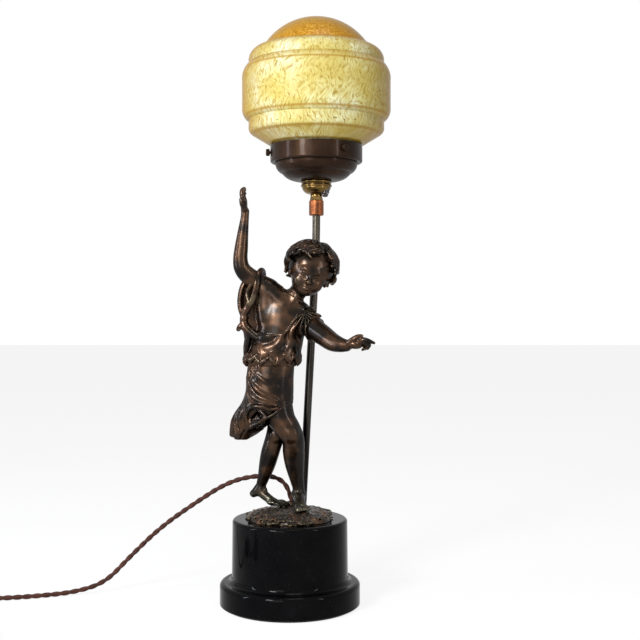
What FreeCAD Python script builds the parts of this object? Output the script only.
"""A figural table lamp.

A black marble drum on a wider plinth carries a cast bronze ground mound, on which a dancing child in a
tunic stands, one arm raised. Behind the figure a slim tube rises, leaning a little and straightening near
its top, through a copper sleeve to a switched bayonet lampholder. The holder clamps a spun gallery whose
three thumbscrews hold a stepped glass globe. A twisted fabric flex leaves a bush behind the standing foot
and ends, coiled, in a three-pin plug.

Frame: millimetres, +Z up, origin on the table under the middle of the base. +X is to the right of someone
who faces the figure, and -Y is towards them.
"""

import FreeCAD, Part
import os
from math import asin, cos, hypot, pi, radians, sin, sqrt, tan

Vector = FreeCAD.Vector

# ---------------------------------------------------------------- base
felt_t = 1.5
felt_r = 66.0
plinth_r = 70.0
plinth_h = 22.5
plinth_edge_r = 4.0
drum_r = 58.0
drum_top_r = 57.4
drum_h = 62.0
drum_edge_r = 3.0
cove_r = 5.0

mound_r = 45.0
mound_rim_h = 4.5
mound_h = 9.5
mound_flat_r = 33.5

chamber_x, chamber_y = 5.0, 21.0
chamber_r = 17.0
chamber_depth = 30.0

tie_x, tie_y = -9.0, -14.0
tie_r = 4.0
tie_into_mound = 5.5
tie_below_nut = 2.0
tie_clear = 0.3
recess_r = 18.0
recess_depth = 14.0
washer_r = 13.0
washer_t = 2.0
nut_af = 13.0
nut_h = 6.5
thread_clear = 0.05

# ---------------------------------------------------------------- stem and sleeve
stem_foot_x = 11.4
stem_y = 24.0
stem_r = 4.0
stem_wall = 1.0
stem_lean_deg = 3.05
stem_bend_r = 1300.0
stem_straight_h = 245.0
stem_below_mound = 6.0
stem_upright = 4.8
stem_nut_af = 12.0
stem_nut_h = 3.0

sleeve_r = 7.5
sleeve_h = 15.6
sleeve_edge_r = 1.2
nipple_r = 5.0
nipple_bore_r = 3.2
nipple_into_sleeve = 7.2
locknut_af = 11.2
locknut_h = 2.6

# ---------------------------------------------------------------- lampholder
collar_r = 6.2
collar_waist = 0.4
collar_h = 3.6
cup_r = 14.7
cup_h = 7.4
cup_wall = 1.2
switch_out = 10.3
switch_angle_deg = -29.0
switch_r = 4.2
knob_r = 3.4
knob_tip_r = 2.5
knob_flutes = 9
knob_flute_r = 0.7
spindle_r = 1.2
spindle_l = 3.0
turn_fit = 0.06
turn_clear = 0.35

barrel_r = 12.9
barrel_wall = 1.2
barrel_h = 33.0
barrel_in_cup = 1.3
rim_h = 3.0
rim_proud = 1.0
lower_ring_r = 15.9
lower_ring_h = 6.2
upper_ring_r = 17.0
upper_ring_h = 4.5
block_h = 12.0
plunger_r = 2.2
plunger_up = 6.0
plunger_apart = 11.0
flex_hole_r = 2.3

# ---------------------------------------------------------------- bulb
cap_r = 11.0
cap_h = 24.0
pin_r = 1.1
pin_out = 12.7
pin_up = 5.5
pin_gap = 0.3
bulb_r = 22.5
bulb_neck_r = 10.4
bulb_neck_h = 10.0
bulb_wall = 0.9

# ---------------------------------------------------------------- gallery, thumbscrews, glass shade
gallery_wall = 1.2
gallery_r = 47.0
gallery_hole_r = 13.2
gallery_band_h = 15.5
gallery_turn_h = 1.9
ledge_r = 42.0
ledge_up = 18.4
screw_angle_deg = -54.5
screw_count = 3
screw_r = 1.6
screw_knob_r = 3.6
screw_knob_t = 3.8
screw_knob_gap = 0.8
screw_knob_edge_r = 1.0
screw_above_ledge = 10.0
screw_fit = 0.06
press_gap = 0.3

glass_t = 3.0
seat_gap = 0.1
neck_r = 43.6
neck_h = 17.2
lower_step_r = 69.2
lower_step_up = 41.2
band_r = 75.8
band_up = 52.2
band_h = 30.0
upper_step_r = 69.2
upper_step_up = 98.7
crease_r = 55.4
crease_up = 114.7
dome_r = 64.0

# ---------------------------------------------------------------- flex, bush and plug
flex_d = 5.2
core_r = 2.0
bush_x, bush_y = 0.8, 24.5
bush_r = 5.6
bush_shank_r = 3.6
bush_up = 3.0
# the route of the free flex, after it leaves the bush: (x, y, z)
flex_route = [
    (-1.5, 25.5, 111.5),
    (-13.5, 29.0, 123.0),
    (-37.0, 34.0, 123.5),
    (-66.0, 40.0, 115.5),
    (-101.0, 47.0, 92.5),
    (-138.0, 50.5, 66.0),
    (-170.0, 48.0, 35.0),
    (-193.0, 43.0, 11.0),
    (-222.0, 34.0, 3.2),
    (-259.0, 18.0, 3.1),
    (-298.0, 9.0, 3.1),
]
coil_x, coil_y = -342.0, -31.0
coil_outer_r = 39.0
coil_gap = 1.1
coil_turns_per_layer = 3.5
coil_layers = 2
points_per_turn = 16
table_clear = 0.1
# the route from the coil's end to the plug
tail_route = [
    (-318.0, -70.5, 6.6),
    (-300.5, -76.0, 3.6),
    (-292.6, -90.0, 5.5),
]

plug_w, plug_l, plug_t = 48.0, 46.0, 19.0
plug_cover_t = 4.0
plug_cover_margin = 0.5
plug_corner_r = 8.0
plug_x, plug_y = -292.0, -126.0
pin_w, pin_t, pin_l = 6.4, 4.0, 17.5
earth_w, earth_t, earth_l = 4.0, 8.0, 22.5
pins_apart = 22.0
earth_to_pins = 22.0
grip_r, grip_l = 5.0, 20.0
grip_lip = 0.6
cover_screw_r = 3.2
cover_screw_proud = 0.8
cover_screw_slot = 0.9

# ---------------------------------------------------------------- the figure: stations of (x, y, z, radius)
# Each limb is a run of round sections. The right arm is the raised one; the right leg is the trailing one.
right_arm_line = [
    (-26.0, -3.0, 309.0, 9.4),
    (-36.0, -6.5, 321.5, 9.3),
    (-45.3, -10.5, 332.0, 8.4),
    (-47.8, -13.0, 344.5, 7.0),
    (-46.3, -14.5, 366.0, 5.7),
    (-43.7, -16.0, 390.0, 3.9),
]
right_hand_line = [
    (-43.7, -16.0, 390.0, 3.9),
    (-45.2, -17.0, 398.0, 4.9),
    (-47.0, -18.5, 405.5, 4.6),
    (-46.4, -20.0, 411.5, 3.2),
]
left_arm_line = [
    (15.0, -6.0, 284.0, 11.5),
    (24.0, -17.0, 276.5, 10.5),
    (35.5, -30.0, 269.0, 9.4),
    (45.5, -41.0, 262.5, 7.3),
    (54.0, -50.0, 259.5, 5.4),
]
left_hand_line = [
    (54.0, -50.0, 259.5, 5.4),
    (61.0, -53.0, 261.0, 6.2),
    (68.0, -55.0, 264.0, 6.8),
    (74.0, -56.0, 267.5, 4.6),
]
left_leg_line = [
    (-8.5, 0.0, 200.0, 13.5),
    (-3.0, -2.0, 186.0, 12.4),
    (2.8, -2.0, 172.0, 11.9),
    (3.6, 1.0, 162.0, 11.2),
    (3.2, 6.0, 149.0, 11.0),
    (5.0, 8.5, 132.0, 8.6),
    (8.3, 10.0, 114.0, 6.3),
    (8.6, 10.0, 104.0, 6.5),
]
right_leg_line = [
    (-22.0, 2.0, 198.0, 13.0),
    (-18.0, -5.0, 180.0, 11.2),
    (-16.5, -5.0, 168.0, 9.8),
    (-20.0, 4.0, 152.0, 9.6),
    (-23.5, 11.0, 136.0, 8.0),
    (-27.5, 17.0, 123.0, 6.1),
    (-30.0, 20.0, 114.5, 5.0),
]
neck_line = [
    (-4.0, -5.0, 296.0, 11.0),
    (-1.0, -6.0, 303.0, 8.6),
    (5.0, -7.0, 312.0, 8.4),
    (10.0, -8.0, 320.0, 10.0),
]
# the shoulder drape hangs from the raised arm and ends in a knot
drape_line = [
    (-32.0, -8.0, 333.0, 5.0),
    (-42.5, -1.0, 318.0, 6.0),
    (-46.5, 3.0, 303.0, 6.4),
    (-44.5, 2.0, 288.0, 5.2),
    (-46.0, 0.0, 279.0, 4.8),
]
# bodice and skirt sections: (x, y, z, half width, half depth)
bodice_sections = [
    (-19.5, -4.0, 238.0, 22.5, 16.0),
    (-17.6, -4.0, 244.5, 27.0, 19.0),
    (-15.3, -4.0, 255.0, 26.0, 18.5),
    (-10.5, -4.5, 269.0, 24.0, 17.0),
    (-5.9, -5.0, 284.0, 25.5, 16.0),
    (-9.5, -5.0, 297.0, 22.0, 13.5),
    (-14.5, -4.5, 308.0, 15.5, 10.5),
    (-20.5, -4.0, 316.0, 7.5, 7.0),
]
skirt_sections = [
    (-42.0, 6.0, 166.5, 8.0, 9.0),
    (-41.5, 4.0, 176.0, 15.5, 16.0),
    (-33.5, 0.0, 187.0, 24.5, 20.5),
    (-24.5, -2.0, 199.0, 26.5, 20.5),
    (-20.5, -3.5, 216.0, 23.8, 18.5),
    (-19.5, -4.0, 238.0, 22.5, 16.0),
]
head_x, head_y, head_z = 20.4, -9.0, 334.9
head_half_w, head_half_d, head_half_h = 26.6, 24.0, 24.2
head_tilt_deg = 14.0
left_foot_l, left_foot_w, left_foot_h = 37.0, 14.0, 11.0
left_foot_turn_deg = 10.0
left_heel_x, left_heel_y = 8.0, 16.5
right_foot_line = [
    (-38.0, 23.0, 107.0, 4.4),
    (-31.5, 20.5, 110.0, 5.6),
    (-22.5, 16.0, 104.0, 4.8),
    (-13.0, 11.5, 98.8, 4.2),
    (-6.0, 8.5, 97.4, 2.6),
]
stud_r = 2.5
stud_into_leg = 14.0
stud_head_r = 4.5
stud_head_h = 3.0
figure_clear = 0.3

# ---------------------------------------------------------------- levels worked out from the sizes above
plinth_z = felt_t
drum_z = plinth_z + plinth_h
drum_top_z = drum_z + drum_h
mound_top_z = drum_top_z + mound_h
stem_foot_z = drum_top_z - stem_below_mound
stem_lean = radians(stem_lean_deg)
stem_bend_z = stem_foot_z + stem_straight_h
stem_bend_x = stem_foot_x + stem_straight_h * tan(stem_lean)
stem_upright_z = stem_bend_z + stem_bend_r * sin(stem_lean)
top_x = stem_bend_x + stem_bend_r * (1 - cos(stem_lean))
stem_top_z = stem_upright_z + stem_upright
sleeve_z = stem_top_z - (sleeve_h - nipple_into_sleeve)
locknut_z = sleeve_z + sleeve_h
collar_z = locknut_z + locknut_h
cup_z = collar_z + collar_h
barrel_z = cup_z + cup_h - barrel_in_cup
lower_ring_z = cup_z + cup_h
gallery_z = lower_ring_z + lower_ring_h
upper_ring_z = gallery_z + gallery_wall
block_z = barrel_z + barrel_in_cup
bulb_z = block_z + block_h + plunger_up
ledge_z = gallery_z + ledge_up
gallery_rim_z = ledge_z + gallery_turn_h + gallery_band_h
glass_z = ledge_z + gallery_wall + seat_gap
screw_z = ledge_z + screw_above_ledge
bush_top_z = mound_top_z + bush_up


# ---------------------------------------------------------------- tools
def solid_of(shape):
    """The one solid of a shape, cleaned of the seams that a boolean leaves."""
    found = sorted(shape.Solids, key=lambda s: s.Volume)
    return found[-1].removeSplitter()


def edges_of(points):
    """Edges through (u, w) points. A point with a third value is the middle of its neighbours' arc."""
    edges = []
    at = 0
    while at < len(points) - 1:
        start = Vector(points[at][0], 0, points[at][1])
        if len(points[at + 1]) == 3:
            middle = Vector(points[at + 1][0], 0, points[at + 1][1])
            end = Vector(points[at + 2][0], 0, points[at + 2][1])
            edges.append(Part.Arc(start, middle, end).toShape())
            at += 2
        else:
            end = Vector(points[at + 1][0], 0, points[at + 1][1])
            edges.append(Part.LineSegment(start, end).toShape())
            at += 1
    return edges


def lathe(points, x=0.0, y=0.0):
    """The solid that a closed outline of (radius, height) points turns about the vertical axis at x, y."""
    face = Part.Face(Part.Wire(edges_of(points + [points[0]])))
    turned = face.revolve(Vector(0, 0, 0), Vector(0, 0, 1), 360)
    turned.translate(Vector(x, y, 0))
    return Part.Solid(turned) if turned.ShapeType == "Shell" else turned


def inset(points, wall):
    """The outline moved by wall to the left of its direction, with its arcs kept as arcs."""
    moved = []
    for at, point in enumerate(points):
        before = points[max(at - 1, 0)]
        after = points[min(at + 1, len(points) - 1)]
        normals = []
        for a, b in ((before, point), (point, after)):
            length = hypot(b[0] - a[0], b[1] - a[1])
            if length > 0:
                normals.append((-(b[1] - a[1]) / length, (b[0] - a[0]) / length))
        nu = sum(n[0] for n in normals) / len(normals)
        nw = sum(n[1] for n in normals) / len(normals)
        size = nu * nu + nw * nw
        moved.append((point[0] + wall * nu / size, point[1] + wall * nw / size) + tuple(point[2:]))
    return moved


def ring(outer_r, inner_r, z, height, x=0.0, y=0.0):
    """A plain ring."""
    return lathe([(inner_r, z), (outer_r, z), (outer_r, z + height), (inner_r, z + height)], x, y)


def rod(r, z, height, x=0.0, y=0.0):
    """A plain upright cylinder."""
    return Part.makeCylinder(r, height, Vector(x, y, z))


def hexagon(across_flats, z, height, x=0.0, y=0.0):
    """A hexagonal prism, with the corners of a nut."""
    corner = across_flats / sqrt(3)
    points = [Vector(x + corner * cos(k * pi / 3), y + corner * sin(k * pi / 3), z) for k in range(7)]
    return Part.Face(Part.makePolygon(points)).extrude(Vector(0, 0, height))


def nut(across_flats, bore_r, z, height, x=0.0, y=0.0):
    """A hexagonal nut."""
    return hexagon(across_flats, z, height, x, y).cut(rod(bore_r, z - 1, height + 2, x, y))


def circle_wire(centre, normal, r):
    return Part.Wire([Part.Circle(centre, normal, r).toShape()])


def limb(stations):
    """A smooth tapering solid through round sections, each square to the line of the limb."""
    middles = [Vector(*s[:3]) for s in stations]
    sections = []
    for at, station in enumerate(stations):
        along = middles[min(at + 1, len(middles) - 1)] - middles[max(at - 1, 0)]
        sections.append(circle_wire(middles[at], along.normalize(), station[3]))
    return Part.makeLoft(sections, True, False)


def ball(station, size=1.0):
    """A ball at a limb's station, of that station's radius."""
    return Part.makeSphere(station[3] * size, Vector(*station[:3]))


def barrel_loft(sections):
    """A smooth solid through upright stacked ovals: (x, y, z, half width, half depth)."""
    wires = []
    for x, y, z, half_w, half_d in sections:
        oval = Part.Ellipse(Vector(0, 0, 0), max(half_w, half_d), min(half_w, half_d)).toShape()
        if half_d > half_w:
            oval.rotate(Vector(0, 0, 0), Vector(0, 0, 1), 90)
        oval.translate(Vector(x, y, z))
        wires.append(Part.Wire([oval]))
    return Part.makeLoft(wires, True, False)


def egg(half_x, half_y, half_z, x, y, z, tilt_deg=0.0):
    """An ellipsoid, tilted about the Y axis."""
    matrix = FreeCAD.Matrix()
    matrix.scale(half_x, half_y, half_z)
    shape = Part.makeSphere(1.0).transformGeometry(matrix)
    shape.rotate(Vector(0, 0, 0), Vector(0, 1, 0), tilt_deg)
    shape.translate(Vector(x, y, z))
    return shape


def soft_path(points):
    """Straight runs joined by tangent arcs, each as large as its runs allow: the wire and the radii."""
    edges = []
    radii = []
    at = points[0]
    for before, corner, after in zip(points, points[1:], points[2:]):
        run_in = corner - before
        run_out = after - corner
        turn = run_in.getAngle(run_out)
        setback = 0.45 * min(run_in.Length, run_out.Length)
        start = corner - run_in.normalize() * setback
        end = corner + run_out.normalize() * setback
        bow = (start + end) * 0.5 - corner
        radius = setback / tan(turn / 2)
        middle = corner + bow.normalize() * (radius / cos(turn / 2) - radius)
        edges.append(Part.LineSegment(at, start).toShape())
        edges.append(Part.Arc(start, middle, end).toShape())
        radii.append(radius)
        at = end
    edges.append(Part.LineSegment(at, points[-1]).toShape())
    return Part.Wire(edges), radii


def tube_on(wire, r):
    """A round solid tube along a wire."""
    first = wire.Edges[0]
    along = first.tangentAt(first.FirstParameter)
    start = first.valueAt(first.FirstParameter)
    tube = wire.makePipeShell([circle_wire(start, along, r)], True, False)
    return Part.Solid(tube) if tube.ShapeType == "Shell" else tube


def arc_from(start, along, end):
    """The arc from start, leaving along a unit direction, to end; and its direction at end."""
    chord = end - start
    side = along - chord * (along.dot(chord) / chord.dot(chord))
    if side.Length < 1e-6:
        return Part.LineSegment(start, end).toShape(), along
    half = along.getAngle(chord)
    middle = (start + end) * 0.5 + side.normalize() * (chord.Length / 2 * tan(half / 2))
    leaving = chord * (2 * along.dot(chord) / chord.dot(chord)) - along
    return Part.Arc(start, middle, end).toShape(), leaving.normalize()


def biarcs(points, directions):
    """A wire of two arcs between each two points, smooth where they meet."""
    edges = []
    for p, q, tp, tq in zip(points, points[1:], directions, directions[1:]):
        gap = q - p
        both = tp + tq
        spread = 2 * (1 - tp.dot(tq))
        along = gap.dot(both)
        d = (sqrt(along * along + spread * gap.dot(gap)) - along) / spread
        joint = (p + q + (tp - tq) * d) * 0.5
        first, turned = arc_from(p, tp, joint)
        second, _ = arc_from(joint, turned, q)
        edges += [first, second]
    return Part.Wire(edges)


# ---------------------------------------------------------------- base
def felt_pad():
    return rod(felt_r, 0, felt_t)


def plinth():
    bend = plinth_edge_r * (1 - sin(pi / 4))
    body = lathe(
        [
            (0, plinth_z),
            (plinth_r - 1, plinth_z),
            (plinth_r, plinth_z + 1),
            (plinth_r, drum_z - plinth_edge_r),
            (plinth_r - bend, drum_z - bend, "arc"),
            (plinth_r - plinth_edge_r, drum_z),
            (0, drum_z),
        ]
    )
    body = body.cut(rod(recess_r, plinth_z - 1, recess_depth + 1, tie_x, tie_y))
    return body.cut(rod(tie_r + tie_clear, 0, drum_z + 1, tie_x, tie_y))


def drum():
    bend = 1 - sin(pi / 4)
    body = lathe(
        [
            (0, drum_z),
            (drum_r + cove_r, drum_z),
            (drum_r + cove_r * bend, drum_z + cove_r * bend, "arc"),
            (drum_r, drum_z + cove_r),
            (drum_top_r, drum_top_z - drum_edge_r),
            (drum_top_r - drum_edge_r * bend, drum_top_z - drum_edge_r * bend, "arc"),
            (drum_top_r - drum_edge_r, drum_top_z),
            (0, drum_top_z),
        ]
    )
    body = body.cut(rod(chamber_r, drum_top_z - chamber_depth, chamber_depth + 1, chamber_x, chamber_y))
    return body.cut(rod(tie_r + tie_clear, drum_z - 1, drum_h + 2, tie_x, tie_y))


def mound():
    """The cast ground, with the holes for its tie rod, the stem, the flex bush and the figure's stud."""
    body = lathe(
        [
            (0, drum_top_z),
            (mound_r, drum_top_z),
            (mound_r, drum_top_z + mound_rim_h * 0.5),
            (mound_r - mound_rim_h * 0.4, drum_top_z + mound_rim_h, "arc"),
            (mound_r - mound_rim_h * 1.3, drum_top_z + mound_rim_h * 1.3),
            (mound_flat_r, mound_top_z),
            (0, mound_top_z),
        ]
    )
    body = body.cut(rod(tie_r + thread_clear, drum_top_z - 1, tie_into_mound + 1.5, tie_x, tie_y))
    body = body.cut(rod(bush_shank_r + thread_clear, drum_top_z - 1, mound_h + 2, bush_x, bush_y))
    body = body.cut(rod(bush_r + thread_clear, mound_top_z - 1.5, 3, bush_x, bush_y))
    body = body.cut(rod(stud_r + thread_clear, drum_top_z - 1, mound_h + 2, *stud_place()))
    lean = Vector(tan(stem_lean), 0, 1)
    foot = Vector(stem_foot_x, stem_y, stem_foot_z)
    return body.cut(Part.makeCylinder(stem_r + thread_clear, mound_h * 3, foot, lean))


def tie_rod():
    bottom = plinth_z + recess_depth - washer_t - nut_h - tie_below_nut
    return rod(tie_r, bottom, drum_top_z + tie_into_mound - bottom, tie_x, tie_y)


def tie_washer():
    return ring(washer_r, tie_r + tie_clear, plinth_z + recess_depth - washer_t, washer_t, tie_x, tie_y)


def tie_nut():
    return nut(nut_af, tie_r + thread_clear, plinth_z + recess_depth - washer_t - nut_h, nut_h, tie_x, tie_y)


# ---------------------------------------------------------------- stem and sleeve
def stem_line(start_drop=0.0, end_z=None):
    """The stem's centre line: it leans to the right, then bends gently upright."""
    end_z = stem_top_z if end_z is None else end_z
    foot = Vector(stem_foot_x - start_drop * tan(stem_lean), stem_y, stem_foot_z - start_drop)
    bend = Vector(stem_bend_x, stem_y, stem_bend_z)
    half = stem_lean / 2
    middle = Vector(
        top_x - stem_bend_r * (1 - cos(half)),
        stem_y,
        stem_upright_z - stem_bend_r * sin(half),
    )
    upright = Vector(top_x, stem_y, stem_upright_z)
    return Part.Wire(
        [
            Part.LineSegment(foot, bend).toShape(),
            Part.Arc(bend, middle, upright).toShape(),
            Part.LineSegment(upright, Vector(top_x, stem_y, end_z)).toShape(),
        ]
    )


def stem():
    return tube_on(stem_line(), stem_r).cut(tube_on(stem_line(1.0, stem_top_z + 1.0), stem_r - stem_wall))


def stem_nut():
    """The back nut that pulls the stem down on the mound, inside the drum's chamber."""
    body = hexagon(stem_nut_af, drum_top_z - stem_nut_h, stem_nut_h, stem_foot_x, stem_y)
    return body.cut(tube_on(stem_line(1.0), stem_r + thread_clear))


def sleeve():
    bend = sleeve_edge_r * (1 - sin(pi / 4))
    top = sleeve_z + sleeve_h
    body = lathe(
        [
            (0, sleeve_z),
            (sleeve_r - sleeve_edge_r, sleeve_z),
            (sleeve_r - bend, sleeve_z + bend, "arc"),
            (sleeve_r, sleeve_z + sleeve_edge_r),
            (sleeve_r, top - sleeve_edge_r),
            (sleeve_r - bend, top - bend, "arc"),
            (sleeve_r - sleeve_edge_r, top),
            (0, top),
        ],
        top_x,
        stem_y,
    )
    body = body.cut(rod(nipple_r + thread_clear, stem_top_z, sleeve_h, top_x, stem_y))
    return body.cut(rod(stem_r + thread_clear, sleeve_z - 1, sleeve_h, top_x, stem_y))


def nipple():
    return ring(nipple_r, nipple_bore_r, stem_top_z, collar_z + collar_h * 0.5 - stem_top_z, top_x, stem_y)


def locknut():
    return nut(locknut_af, nipple_r + thread_clear, locknut_z, locknut_h, top_x, stem_y)


# ---------------------------------------------------------------- lampholder
def switch_place():
    """The upright axis on which the switch knob turns, in front of the collar and to its right."""
    angle = radians(switch_angle_deg)
    return top_x + switch_out * cos(angle), stem_y + switch_out * sin(angle)


def holder_cup():
    """The brass cap of the holder: a threaded collar under a small bowl, with a hole for the switch."""
    outline = [
        (collar_r - collar_waist, collar_z),
        (collar_r, collar_z + collar_h / 2, "arc"),
        (collar_r - collar_waist, collar_z + collar_h),
        (cup_r * 0.78, cup_z + cup_h * 0.22, "arc"),
        (cup_r, cup_z + cup_h * 0.8),
        (cup_r, cup_z + cup_h),
    ]
    inner = [
        (cup_r - cup_wall, cup_z + cup_h),
        (cup_r - cup_wall, cup_z + cup_h * 0.8),
        (cup_r * 0.72, cup_z + cup_h * 0.34, "arc"),
        (nipple_r + 0.4, cup_z + cup_wall * 0.6),
    ]
    body = lathe(outline + inner + [(0, cup_z + cup_wall * 0.6), (0, collar_z)], top_x, stem_y)
    body = body.cut(rod(nipple_r + thread_clear, collar_z - 1, collar_h * 0.5 + 1, top_x, stem_y))
    body = body.cut(rod(flex_hole_r, collar_z, cup_h, top_x, stem_y))
    return solid_of(body.cut(rod(switch_r, cup_z + turn_clear, cup_h, *switch_place())))


def switch_body():
    """The Bakelite body of the turn switch, let into the bowl."""
    z = cup_z + turn_clear
    body = rod(switch_r, z, cup_h - cup_wall - turn_clear, *switch_place())
    body = body.cut(rod(barrel_r + thread_clear, barrel_z - thread_clear, barrel_h, top_x, stem_y))
    return body.cut(rod(spindle_r + turn_fit, z - 1, spindle_l + 1.2, *switch_place()))


def switch_knob():
    """The fluted knob under the switch body, on its spindle."""
    x, y = switch_place()
    bottom = collar_z + turn_clear
    top = cup_z
    body = lathe(
        [
            (0, bottom),
            (knob_tip_r - 0.6, bottom),
            (knob_tip_r, bottom + 0.6),
            (knob_r, top - 0.6),
            (knob_r - 0.5, top),
            (0, top),
        ],
        x,
        y,
    )
    for k in range(knob_flutes):
        angle = 2 * pi * k / knob_flutes
        at = (x + knob_r * cos(angle), y + knob_r * sin(angle))
        body = body.cut(rod(knob_flute_r, bottom - 1, top - bottom + 2, *at))
    return solid_of(body.fuse(rod(spindle_r, top - 0.1, spindle_l, x, y)))


def barrel():
    body = ring(barrel_r, barrel_r - barrel_wall, barrel_z, barrel_h, top_x, stem_y)
    for side in (-1, 1):
        slot = Part.makeBox(
            barrel_wall * 3,
            2 * (pin_r + pin_gap),
            barrel_h,
            Vector(
                top_x + side * barrel_r - barrel_wall * 1.5,
                stem_y - pin_r - pin_gap,
                bulb_z + pin_up - pin_r - pin_gap,
            ),
        )
        body = body.cut(slot)
    return body


def lower_ring():
    """The ridged ring under the gallery."""
    r, z, h = lower_ring_r, lower_ring_z, lower_ring_h
    return lathe(
        [
            (barrel_r + thread_clear, z),
            (r * 0.97, z),
            (r, z + h * 0.18, "arc"),
            (r * 0.96, z + h * 0.4),
            (r * 0.92, z + h * 0.5, "arc"),
            (r * 0.96, z + h * 0.6),
            (r, z + h * 0.8, "arc"),
            (r * 0.97, z + h),
            (barrel_r + thread_clear, z + h),
        ],
        top_x,
        stem_y,
    )


def upper_ring():
    return ring(upper_ring_r, barrel_r + thread_clear, upper_ring_z, upper_ring_h, top_x, stem_y)


def contact_block():
    body = rod(barrel_r - barrel_wall - thread_clear, block_z, block_h, top_x, stem_y)
    body = body.cut(rod(flex_hole_r, block_z - 1, block_h * 0.6 + 1, top_x, stem_y))
    for side in (-1, 1):
        x = top_x + side * plunger_apart / 2
        body = body.cut(rod(plunger_r + thread_clear, block_z + block_h * 0.4, block_h, x, stem_y))
    return body


def plungers():
    z = block_z + block_h * 0.4
    return [
        rod(plunger_r, z, bulb_z - z, top_x + side * plunger_apart / 2, stem_y)
        for side in (-1, 1)
    ]


def holder_rim():
    """The threaded rim at the top of the barrel."""
    z = barrel_z + barrel_h - rim_h
    return ring(barrel_r + rim_proud, barrel_r + thread_clear, z, rim_h, top_x, stem_y)


# ---------------------------------------------------------------- bulb
def bulb_cap():
    body = rod(cap_r, bulb_z, cap_h, top_x, stem_y)
    pins = Part.makeCylinder(
        pin_r,
        2 * pin_out,
        Vector(top_x - pin_out, stem_y, bulb_z + pin_up),
        Vector(1, 0, 0),
    )
    return solid_of(body.fuse(pins))


def bulb_glass():
    """The hollow glass of the bulb, open where the cap takes its neck."""
    z = bulb_z + cap_h
    swell = bulb_neck_r * 1.25
    centre = z + bulb_neck_h + sqrt(bulb_r**2 - swell**2)
    outside = [
        (bulb_neck_r, z),
        (bulb_neck_r * 1.02, z + bulb_neck_h * 0.5, "arc"),
        (swell, z + bulb_neck_h),
        (bulb_r, centre, "arc"),
        (0, centre + bulb_r),
    ]
    inside = inset(outside, bulb_wall)
    inside[0] = (bulb_neck_r - bulb_wall, z)
    inside[3] = (bulb_r - bulb_wall, centre, "arc")
    inside[4] = (0, centre + bulb_r - bulb_wall)
    return lathe(outside + inside[::-1], top_x, stem_y)


# ---------------------------------------------------------------- gallery, thumbscrews, glass shade
def gallery_outline():
    """The spun dish's underside, from its middle hole to its rim."""
    z = gallery_z
    step_r = ledge_r * 0.84
    step_z = z + ledge_up * 0.44
    return [
        (gallery_hole_r, z),
        (gallery_hole_r + 6.5, z),
        (step_r * 0.83, z + ledge_up * 0.13, "arc"),
        (step_r - 0.4, step_z - 1.0),
        (step_r + 0.6, step_z),
        (step_r + 1.8, step_z + 0.3),
        (ledge_r - 1.1, (step_z + ledge_z) / 2 - 0.4, "arc"),
        (ledge_r, ledge_z),
        (gallery_r - 1.6, ledge_z),
        (gallery_r - 0.5, ledge_z + 0.5, "arc"),
        (gallery_r, ledge_z + 1.7),
        (gallery_r, gallery_rim_z),
    ]


def screw_angles():
    return [radians(screw_angle_deg + 360.0 * k / screw_count) for k in range(screw_count)]


def gallery():
    under = gallery_outline()
    above = inset(under, gallery_wall)
    above[0] = (gallery_hole_r, gallery_z + gallery_wall)
    body = lathe(under + above[::-1], top_x, stem_y)
    for angle in screw_angles():
        out = Vector(cos(angle), sin(angle), 0)
        start = Vector(top_x, stem_y, screw_z) + out * (gallery_r - 3 * gallery_wall)
        body = body.cut(Part.makeCylinder(screw_r + screw_fit, 6 * gallery_wall, start, out))
    return solid_of(body)


def thumbscrew(angle):
    """A thumbscrew: its shank bears on the glass neck and its grooved knob stands outside the gallery."""
    out = Vector(cos(angle), sin(angle), 0)
    centre = Vector(top_x, stem_y, screw_z)
    tip = neck_r + press_gap
    knob = gallery_r + screw_knob_gap
    shank = Part.makeCylinder(screw_r, knob - tip + 1, centre + out * tip, out)
    head = Part.makeCylinder(screw_knob_r, screw_knob_t, centre + out * knob, out)
    outer_edge = max(head.Edges, key=lambda e: (e.CenterOfMass - centre).Length)
    head = head.makeFillet(screw_knob_edge_r, [outer_edge])
    return solid_of(shank.fuse(head))


def shade_outline():
    """The glass globe's outside, from the foot of its neck to the crown of its dome."""
    z = glass_z
    dome_z = z + crease_up - sqrt(dome_r**2 - crease_r**2)
    rise = (asin(crease_r / dome_r)) / 2
    return [
        (neck_r, z),
        (neck_r, z + neck_h - 1.6),
        (neck_r + 0.7, z + neck_h - 0.2, "arc"),
        (neck_r + 2.4, z + neck_h + 0.3),
        (gallery_r + 3.5, z + neck_h + 1.2),
        (lower_step_r - 3.6, z + lower_step_up - 13.6),
        (lower_step_r - 0.7, z + lower_step_up - 10.8, "arc"),
        (lower_step_r, z + lower_step_up - 7.0),
        (lower_step_r, z + lower_step_up),
        (band_r - 1.6, z + (lower_step_up + band_up) / 2 - 0.6, "arc"),
        (band_r, z + band_up),
        (band_r, z + band_up + band_h),
        (band_r - 1.4, z + (band_up + band_h + upper_step_up) / 2 + 1.2, "arc"),
        (upper_step_r, z + upper_step_up),
        (upper_step_r, z + upper_step_up + 3.0),
        (upper_step_r - 3.4, z + (upper_step_up + crease_up) / 2 + 4.2, "arc"),
        (crease_r, z + crease_up),
        (dome_r * sin(rise), dome_z + dome_r * cos(rise), "arc"),
        (0, dome_z + dome_r),
    ]


def glass_shade():
    outside = shade_outline()
    inside = inset(outside, glass_t)
    inside[0] = (neck_r - glass_t, outside[0][1])
    inside[-1] = (0, outside[-1][1] - glass_t)
    return lathe(outside + inside[::-1], top_x, stem_y)


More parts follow.
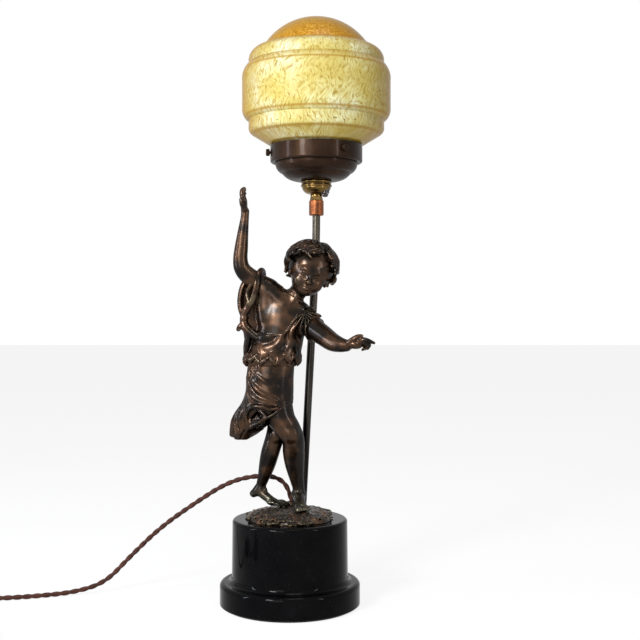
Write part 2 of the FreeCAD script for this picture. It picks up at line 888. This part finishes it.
# ---------------------------------------------------------------- flex, bush and plug
def bush():
    """The turned bush through which the flex leaves the mound."""
    bottom = drum_top_z + 0.5
    return lathe(
        [
            (core_r + thread_clear, bottom),
            (bush_shank_r, bottom),
            (bush_shank_r, mound_top_z - 1.4),
            (bush_r, mound_top_z - 1.4),
            (bush_r, bush_top_z - 1.2),
            (bush_r - 0.35, bush_top_z - 0.35, "arc"),
            (bush_r - 1.2, bush_top_z),
            (core_r + thread_clear, bush_top_z),
        ],
        bush_x,
        bush_y,
    )


def inner_flex():
    """The flex's cores inside the lamp: down the bush, round in the drum's chamber, and up the stem."""
    dip = stem_foot_z - 10.0
    foot = Vector(stem_foot_x - 6.0 * tan(stem_lean), stem_y, stem_foot_z - 6.0)
    low = Vector((bush_x + foot.x) / 2, (bush_y + stem_y) / 2, dip - 3.0)
    down = Vector(bush_x, bush_y, dip)
    edges = [
        Part.LineSegment(Vector(bush_x, bush_y, bush_top_z), down).toShape(),
    ]
    curve = Part.BezierCurve()
    reach = 8.0
    tip = Vector(foot.x + reach * -tan(stem_lean), stem_y, foot.z - reach)
    curve.setPoles([down, down - Vector(0, 0, reach), low - Vector(0, 0, reach), tip, foot])
    edges.append(curve.toShape())
    bend = Vector(stem_bend_x, stem_y, stem_bend_z)
    half = stem_lean / 2
    middle = Vector(top_x - stem_bend_r * (1 - cos(half)), stem_y, stem_upright_z - stem_bend_r * sin(half))
    upright = Vector(top_x, stem_y, stem_upright_z)
    edges.append(Part.LineSegment(foot, bend).toShape())
    edges.append(Part.Arc(bend, middle, upright).toShape())
    edges.append(Part.LineSegment(upright, Vector(top_x, stem_y, block_z + block_h * 0.6)).toShape())
    return tube_on(Part.Wire(edges), core_r)


def coil_points():
    """Stations of the coil: it spirals in, climbs a layer where it reverses, and spirals out again."""
    pitch = flex_d + coil_gap
    r, z = coil_outer_r, flex_d / 2 + table_clear
    steps = round(points_per_turn * coil_turns_per_layer)
    climb_steps = points_per_turn // 2
    angle = pi / 2
    stations = [(angle, r, z)]
    for layer in range(coil_layers):
        inwards = -1 if layer % 2 == 0 else 1
        for _ in range(steps):
            angle += 2 * pi / points_per_turn
            r += inwards * pitch / points_per_turn
            stations.append((angle, r, z))
        if layer < coil_layers - 1:
            for _ in range(climb_steps):
                angle += 2 * pi / points_per_turn
                z += pitch / climb_steps
                stations.append((angle, r, z))
    points = [Vector(coil_x + q * cos(a), coil_y + q * sin(a), h) for a, q, h in stations]
    directions = []
    for at, (a, _, _) in enumerate(stations):
        chord = points[min(at + 1, len(points) - 1)] - points[max(at - 1, 0)]
        rise = chord.z / hypot(chord.x, chord.y)
        swing = Vector(-sin(a), cos(a), 0)
        lean = chord - swing * chord.dot(swing)
        lean.z = 0
        directions.append((swing * chord.dot(swing) + lean + Vector(0, 0, rise * chord.Length)).normalize())
    directions[0] = Vector(-1, 0, 0)
    return points, directions


def free_route():
    """The free flex's points, from the bush to the start of the coil."""
    start = Vector(bush_x, bush_y, bush_top_z)
    z = flex_d / 2 + table_clear
    points = [start] + [Vector(*p) for p in flex_route]
    return points + [Vector(coil_x, coil_y + coil_outer_r, z)]


def flex_tail():
    """The last of the flex, from the end of the coil to the plug's grip."""
    points, _ = coil_points()
    grip = Vector(plug_x, plug_y + grip_l, plug_t / 2)
    return [points[-1]] + [Vector(*p) for p in tail_route] + [grip]


def rounded_block(width, length, z, height, corner_r, x, y):
    block = Part.makeBox(width, length, height, Vector(x - width / 2, y - length, z))
    corners = [e for e in block.Edges if abs(e.tangentAt(e.FirstParameter).z) > 0.99]
    return block.makeFillet(corner_r, corners)


def plug_case():
    case = rounded_block(plug_w, plug_l, 0, plug_t, plug_corner_r, plug_x, plug_y)
    return case.makeFillet(2.5, [e for e in case.Edges if e.CenterOfMass.z < 1e-6])


def plug_cover():
    margin = plug_cover_margin
    width, length = plug_w - 2 * margin, plug_l - 2 * margin
    corner_r = plug_corner_r - margin
    return rounded_block(width, length, plug_t, plug_cover_t, corner_r, plug_x, plug_y - margin)


def plug_pins():
    """Two line pins and the longer earth pin."""
    z = plug_t + plug_cover_t
    y = plug_y - plug_l * 0.28
    sizes = [(side * pins_apart / 2, y, pin_w, pin_t, pin_l) for side in (-1, 1)]
    sizes.append((0, y - earth_to_pins, earth_w, earth_t, earth_l))
    pins = []
    for across, at_y, width, depth, length in sizes:
        pin = Part.makeBox(width, depth, length, Vector(plug_x + across - width / 2, at_y - depth / 2, z))
        tip = [e for e in pin.Edges if e.CenterOfMass.z > z + length - 0.1]
        pins.append(pin.makeChamfer(0.8, tip))
    return pins


def plug_screw():
    z = plug_t + plug_cover_t
    y = plug_y - plug_l * 0.5
    head = rod(cover_screw_r, z, cover_screw_proud, plug_x, y)
    corner = Vector(plug_x - cover_screw_r, y - cover_screw_slot / 2, z + cover_screw_proud / 2)
    return head.cut(Part.makeBox(2 * cover_screw_r, cover_screw_slot, cover_screw_proud, corner))


def plug_grip():
    """The tapered sleeve that takes the flex into the plug."""
    mouth = Vector(plug_x, plug_y, plug_t / 2)
    return Part.makeCone(grip_r, flex_d / 2 + grip_lip, grip_l, mouth, Vector(0, 1, 0))


# ---------------------------------------------------------------- the figure
def stud_place():
    return left_leg_line[-1][0], left_leg_line[-1][1]


def bodice():
    return barrel_loft(bodice_sections)


def skirt():
    return barrel_loft(skirt_sections)


def head():
    hair = egg(head_half_w, head_half_d, head_half_h, head_x, head_y, head_z, head_tilt_deg)
    return solid_of(hair.fuse(limb(neck_line)))


def right_arm():
    return solid_of(limb(right_arm_line).fuse(limb(right_hand_line)).fuse(ball(right_hand_line[-1])))


def left_arm():
    return solid_of(limb(left_arm_line).fuse(limb(left_hand_line)).fuse(ball(left_hand_line[-1])))


def left_foot():
    """The standing foot: a low wedge from heel to toes, on the mound."""
    z = mound_top_z
    half = left_foot_w / 2
    shape = barrel_loft(
        [
            (0, -left_foot_l * 0.42, z, half, left_foot_l * 0.5),
            (0, -left_foot_l * 0.4, z + left_foot_h * 0.35, half, left_foot_l * 0.5),
            (0, -left_foot_l * 0.26, z + left_foot_h * 0.8, half * 0.9, left_foot_l * 0.34),
            (0, -left_foot_l * 0.16, z + left_foot_h * 1.1, half * 0.85, left_foot_l * 0.22),
        ]
    )
    shape.rotate(Vector(0, 0, 0), Vector(0, 0, 1), left_foot_turn_deg)
    shape.translate(Vector(left_heel_x, left_heel_y, 0))
    return shape


def left_leg():
    body = solid_of(limb(left_leg_line).fuse(left_foot()))
    return body.cut(rod(stud_r + thread_clear, mound_top_z - 1, stud_into_leg + 1, *stud_place()))


def right_leg():
    foot = limb(right_foot_line).fuse(ball(right_foot_line[0])).fuse(ball(right_foot_line[-1]))
    return solid_of(limb(right_leg_line).fuse(foot))


def shoulder_drape():
    return limb(drape_line)


def figure_stud():
    """The screw that holds the standing foot on the mound, its head in the drum's chamber."""
    x, y = stud_place()
    shank = rod(stud_r, drum_top_z - 0.1, mound_h + stud_into_leg - 1.0, x, y)
    return solid_of(shank.fuse(rod(stud_head_r, drum_top_z - stud_head_h, stud_head_h, x, y)))


def figure_parts():
    """The castings of the figure. Each is fitted to the ones before it, and all of them clear the stem."""
    keep_clear = tube_on(stem_line(), stem_r + figure_clear).fuse(
        rod(bush_r + figure_clear, mound_top_z - 2, 40, bush_x, bush_y)
    )
    parts = {}
    order = [
        ("figure_bodice", bodice()),
        ("figure_skirt", skirt()),
        ("figure_head", head()),
        ("figure_right_arm", right_arm()),
        ("figure_left_arm", left_arm()),
        ("figure_shoulder_drape", shoulder_drape()),
        ("figure_left_leg", left_leg()),
        ("figure_right_leg", right_leg()),
    ]
    ground = mound()
    for name, shape in order:
        for earlier in parts.values():
            if shape.BoundBox.intersect(earlier.BoundBox):
                shape = shape.cut(earlier)
        if shape.BoundBox.ZMin < mound_top_z + 1:
            shape = shape.cut(ground).cut(rod(mound_r, drum_z, mound_top_z - 3 - drum_z))
        parts[name] = solid_of(shape.cut(keep_clear))
    return parts


# ---------------------------------------------------------------- build
def least_gap(points, apart):
    """The least distance between points of a path that lie more than apart from each other along it."""
    lengths = [0.0]
    for p, q in zip(points, points[1:]):
        lengths.append(lengths[-1] + (q - p).Length)
    best = 1e9
    for i, p in enumerate(points):
        for j in range(i + 1, len(points)):
            if lengths[j] - lengths[i] > apart:
                best = min(best, (p - points[j]).Length)
    return best


def flex_parts():
    """The free run, the coil and the tail to the plug, and the checks of their lengths."""
    run_wire, run_radii = soft_path(free_route())
    points, directions = coil_points()
    coil_wire = biarcs(points, directions)
    tail_wire, tail_radii = soft_path(flex_tail())
    run = tube_on(run_wire, flex_d / 2)
    coil = tube_on(coil_wire, flex_d / 2)
    tail = tube_on(tail_wire, flex_d / 2)
    section = pi * flex_d**2 / 4
    for name, wire, tube in (("run", run_wire, run), ("coil", coil_wire, coil), ("tail", tail_wire, tail)):
        share = tube.Volume / (section * wire.Length)
        print(f"flex {name}: length {wire.Length:.1f}, volume over section times length {share:.4f}")
    print("radii of the run", [round(r, 1) for r in run_radii], "tail", [round(r, 1) for r in tail_radii])
    fine = coil_wire.discretize(900)
    print(f"coil gap to itself {least_gap(fine, 3 * flex_d) - flex_d:.2f}")
    total = run_wire.Length + coil_wire.Length + tail_wire.Length
    print(f"flex length in all {total:.0f}")
    return {"flex_run": run, "flex_coil": coil, "flex_tail": tail}


def build():
    parts = {
        "felt_pad": felt_pad(),
        "base_plinth": plinth(),
        "base_drum": drum(),
        "ground_mound": mound(),
        "tie_rod": tie_rod(),
        "tie_washer": tie_washer(),
        "tie_nut": tie_nut(),
        "stem_tube": stem(),
        "stem_nut": stem_nut(),
        "copper_sleeve": sleeve(),
        "holder_nipple": nipple(),
        "holder_locknut": locknut(),
        "holder_cup": holder_cup(),
        "switch_body": switch_body(),
        "switch_knob": switch_knob(),
        "holder_barrel": barrel(),
        "holder_rim": holder_rim(),
        "shade_ring_lower": lower_ring(),
        "shade_ring_upper": upper_ring(),
        "contact_block": contact_block(),
        "contact_plungers": Part.makeCompound(plungers()),
        "bulb_cap": bulb_cap(),
        "bulb_glass": bulb_glass(),
        "shade_gallery": gallery(),
        "glass_shade": glass_shade(),
        "flex_bush": bush(),
        "inner_flex": inner_flex(),
        "plug_case": plug_case(),
        "plug_cover": plug_cover(),
        "plug_pins": Part.makeCompound(plug_pins()),
        "plug_screw": plug_screw(),
        "plug_grip": plug_grip(),
        "figure_stud": figure_stud(),
    }
    for number, angle in enumerate(screw_angles(), 1):
        parts[f"thumbscrew_{number}"] = thumbscrew(angle)
    parts.update(flex_parts())
    parts.update(figure_parts())
    return parts


def main():
    os.makedirs("parts", exist_ok=True)
    print(f"axis of the lampholder at x {top_x:.2f}; gallery rim at z {gallery_rim_z:.1f}")
    for name, shape in build().items():
        if not shape.isValid() or not shape.Solids:
            print(f"{name}: not a valid solid")
        shape.exportStep(f"parts/{name}.step")


main()
